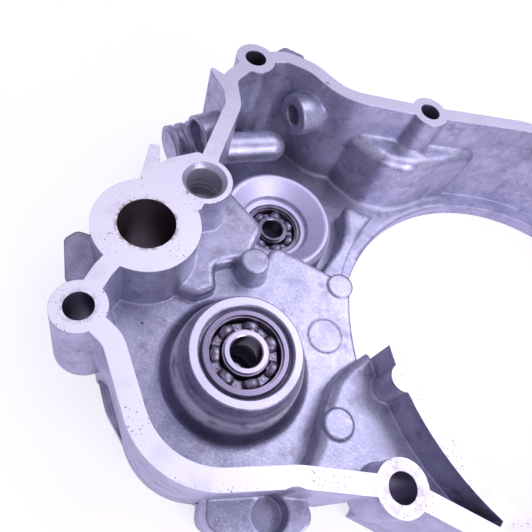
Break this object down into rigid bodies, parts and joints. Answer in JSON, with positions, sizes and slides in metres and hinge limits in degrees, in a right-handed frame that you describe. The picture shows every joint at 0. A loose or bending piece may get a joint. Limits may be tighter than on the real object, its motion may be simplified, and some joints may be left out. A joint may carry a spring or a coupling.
{
  "type": "clutch cover",
  "caption": "Cast right-hand engine side cover, gasket face up, with a large round clutch opening, bolt bosses, coolant passage and ball bearings whose inner rings turn.",
  "frame": {"origin": "centre of the clutch opening, in the outer face that the cover lies on", "axes": "+Z from the outer face to the gasket face; -X towards the wall with the coolant passage; +Y towards the wall with the upper bolt"},
  "size_m": [0.2351, 0.1824, 0.045],
  "materials": {
    "cast_aluminium": "fine cast skin with machined faces",
    "ring_steel": "ground bearing steel, slightly browned",
    "ball_steel": "polished balls",
    "cage_steel": "pressed steel",
    "rivet_steel": "plain steel",
    "seal_steel": "pressed steel",
    "seal_rubber": "moulded rubber",
    "spring_steel": "coiled wire"
  },
  "bodies": {
    "cover": {"cover_casting": "cast_aluminium", "pump_bearing_outer_ring": "ring_steel", "governor_bearing_outer_ring": "ring_steel", "coolant_seal_case": "seal_steel", "coolant_seal_lip": "seal_rubber", "coolant_seal_spring": "spring_steel", "oil_seal_case": "seal_steel", "oil_seal_lip": "seal_rubber", "oil_seal_spring": "spring_steel"},
    "pump_inner": {"pump_bearing_inner_ring": "ring_steel"},
    "pump_cage": {"pump_bearing_balls": "ball_steel", "pump_bearing_cage_upper": "cage_steel", "pump_bearing_cage_lower": "cage_steel", "pump_bearing_rivets": "rivet_steel"},
    "governor_inner": {"governor_bearing_inner_ring": "ring_steel"},
    "governor_cage": {"governor_bearing_balls": "ball_steel", "governor_bearing_cage_upper": "cage_steel", "governor_bearing_cage_lower": "cage_steel", "governor_bearing_rivets": "rivet_steel"}
  },
  "joints": [
    {"name": "pump_inner_spin", "type": "hinge", "parent": "cover", "child": "pump_inner", "pos_m": [-0.0897, -0.0595, 0.0371], "axis": [0, 0, 1], "continuous": true},
    {"name": "pump_cage_spin", "type": "hinge", "parent": "cover", "child": "pump_cage", "pos_m": [-0.0897, -0.0595, 0.0371], "axis": [0, 0, 1], "continuous": true},
    {"name": "governor_inner_spin", "type": "hinge", "parent": "cover", "child": "governor_inner", "pos_m": [-0.0991, -0.0072, 0.0145], "axis": [0, 0, 1], "continuous": true},
    {"name": "governor_cage_spin", "type": "hinge", "parent": "cover", "child": "governor_cage", "pos_m": [-0.0991, -0.0072, 0.0145], "axis": [0, 0, 1], "continuous": true}
  ],
  "couplings": [
    {"joint": "pump_cage_spin", "follows": "pump_inner_spin", "ratio": 0.3677},
    {"joint": "governor_cage_spin", "follows": "governor_inner_spin", "ratio": 0.3626}
  ]
}
